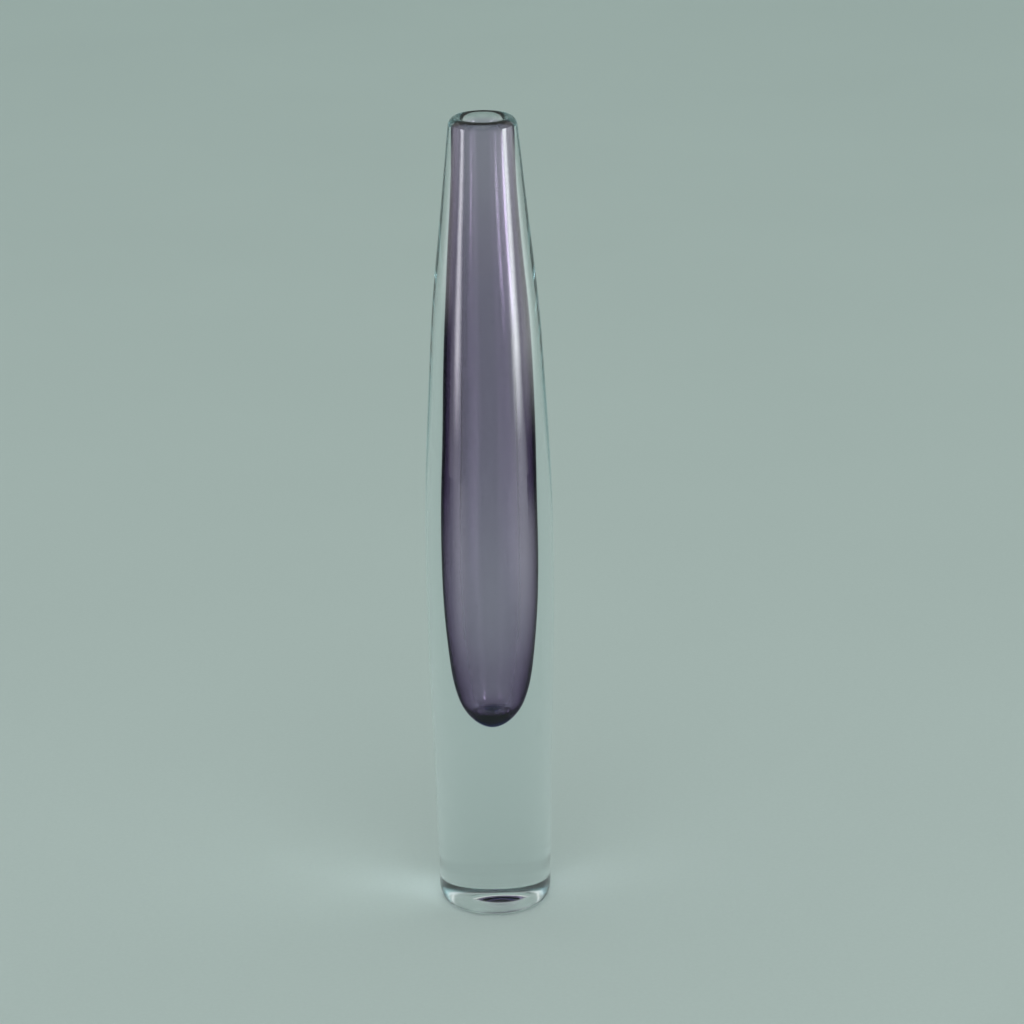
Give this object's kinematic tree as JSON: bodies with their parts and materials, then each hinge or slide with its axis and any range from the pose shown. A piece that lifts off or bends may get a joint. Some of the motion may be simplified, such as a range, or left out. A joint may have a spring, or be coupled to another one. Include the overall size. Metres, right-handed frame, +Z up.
{
  "type": "hand blown glass vase",
  "caption": "Slender tapering bud vase in thick clear glass cased over an amethyst bubble, for one or two flower stems.",
  "frame": {"origin": "centre of the foot, on the surface that the vase stands on", "axes": "+Z up along the vase's axis, +X to the right and +Y away as the vase is seen from its front"},
  "size_m": [0.0436, 0.0436, 0.28],
  "materials": {
    "clear_glass": "fire-polished, thick, clear",
    "amethyst_glass": "transparent smoky amethyst, glossy"
  },
  "bodies": {
    "root": {"clear_casing": "clear_glass", "amethyst_underlay": "amethyst_glass"}
  },
  "joints": []
}
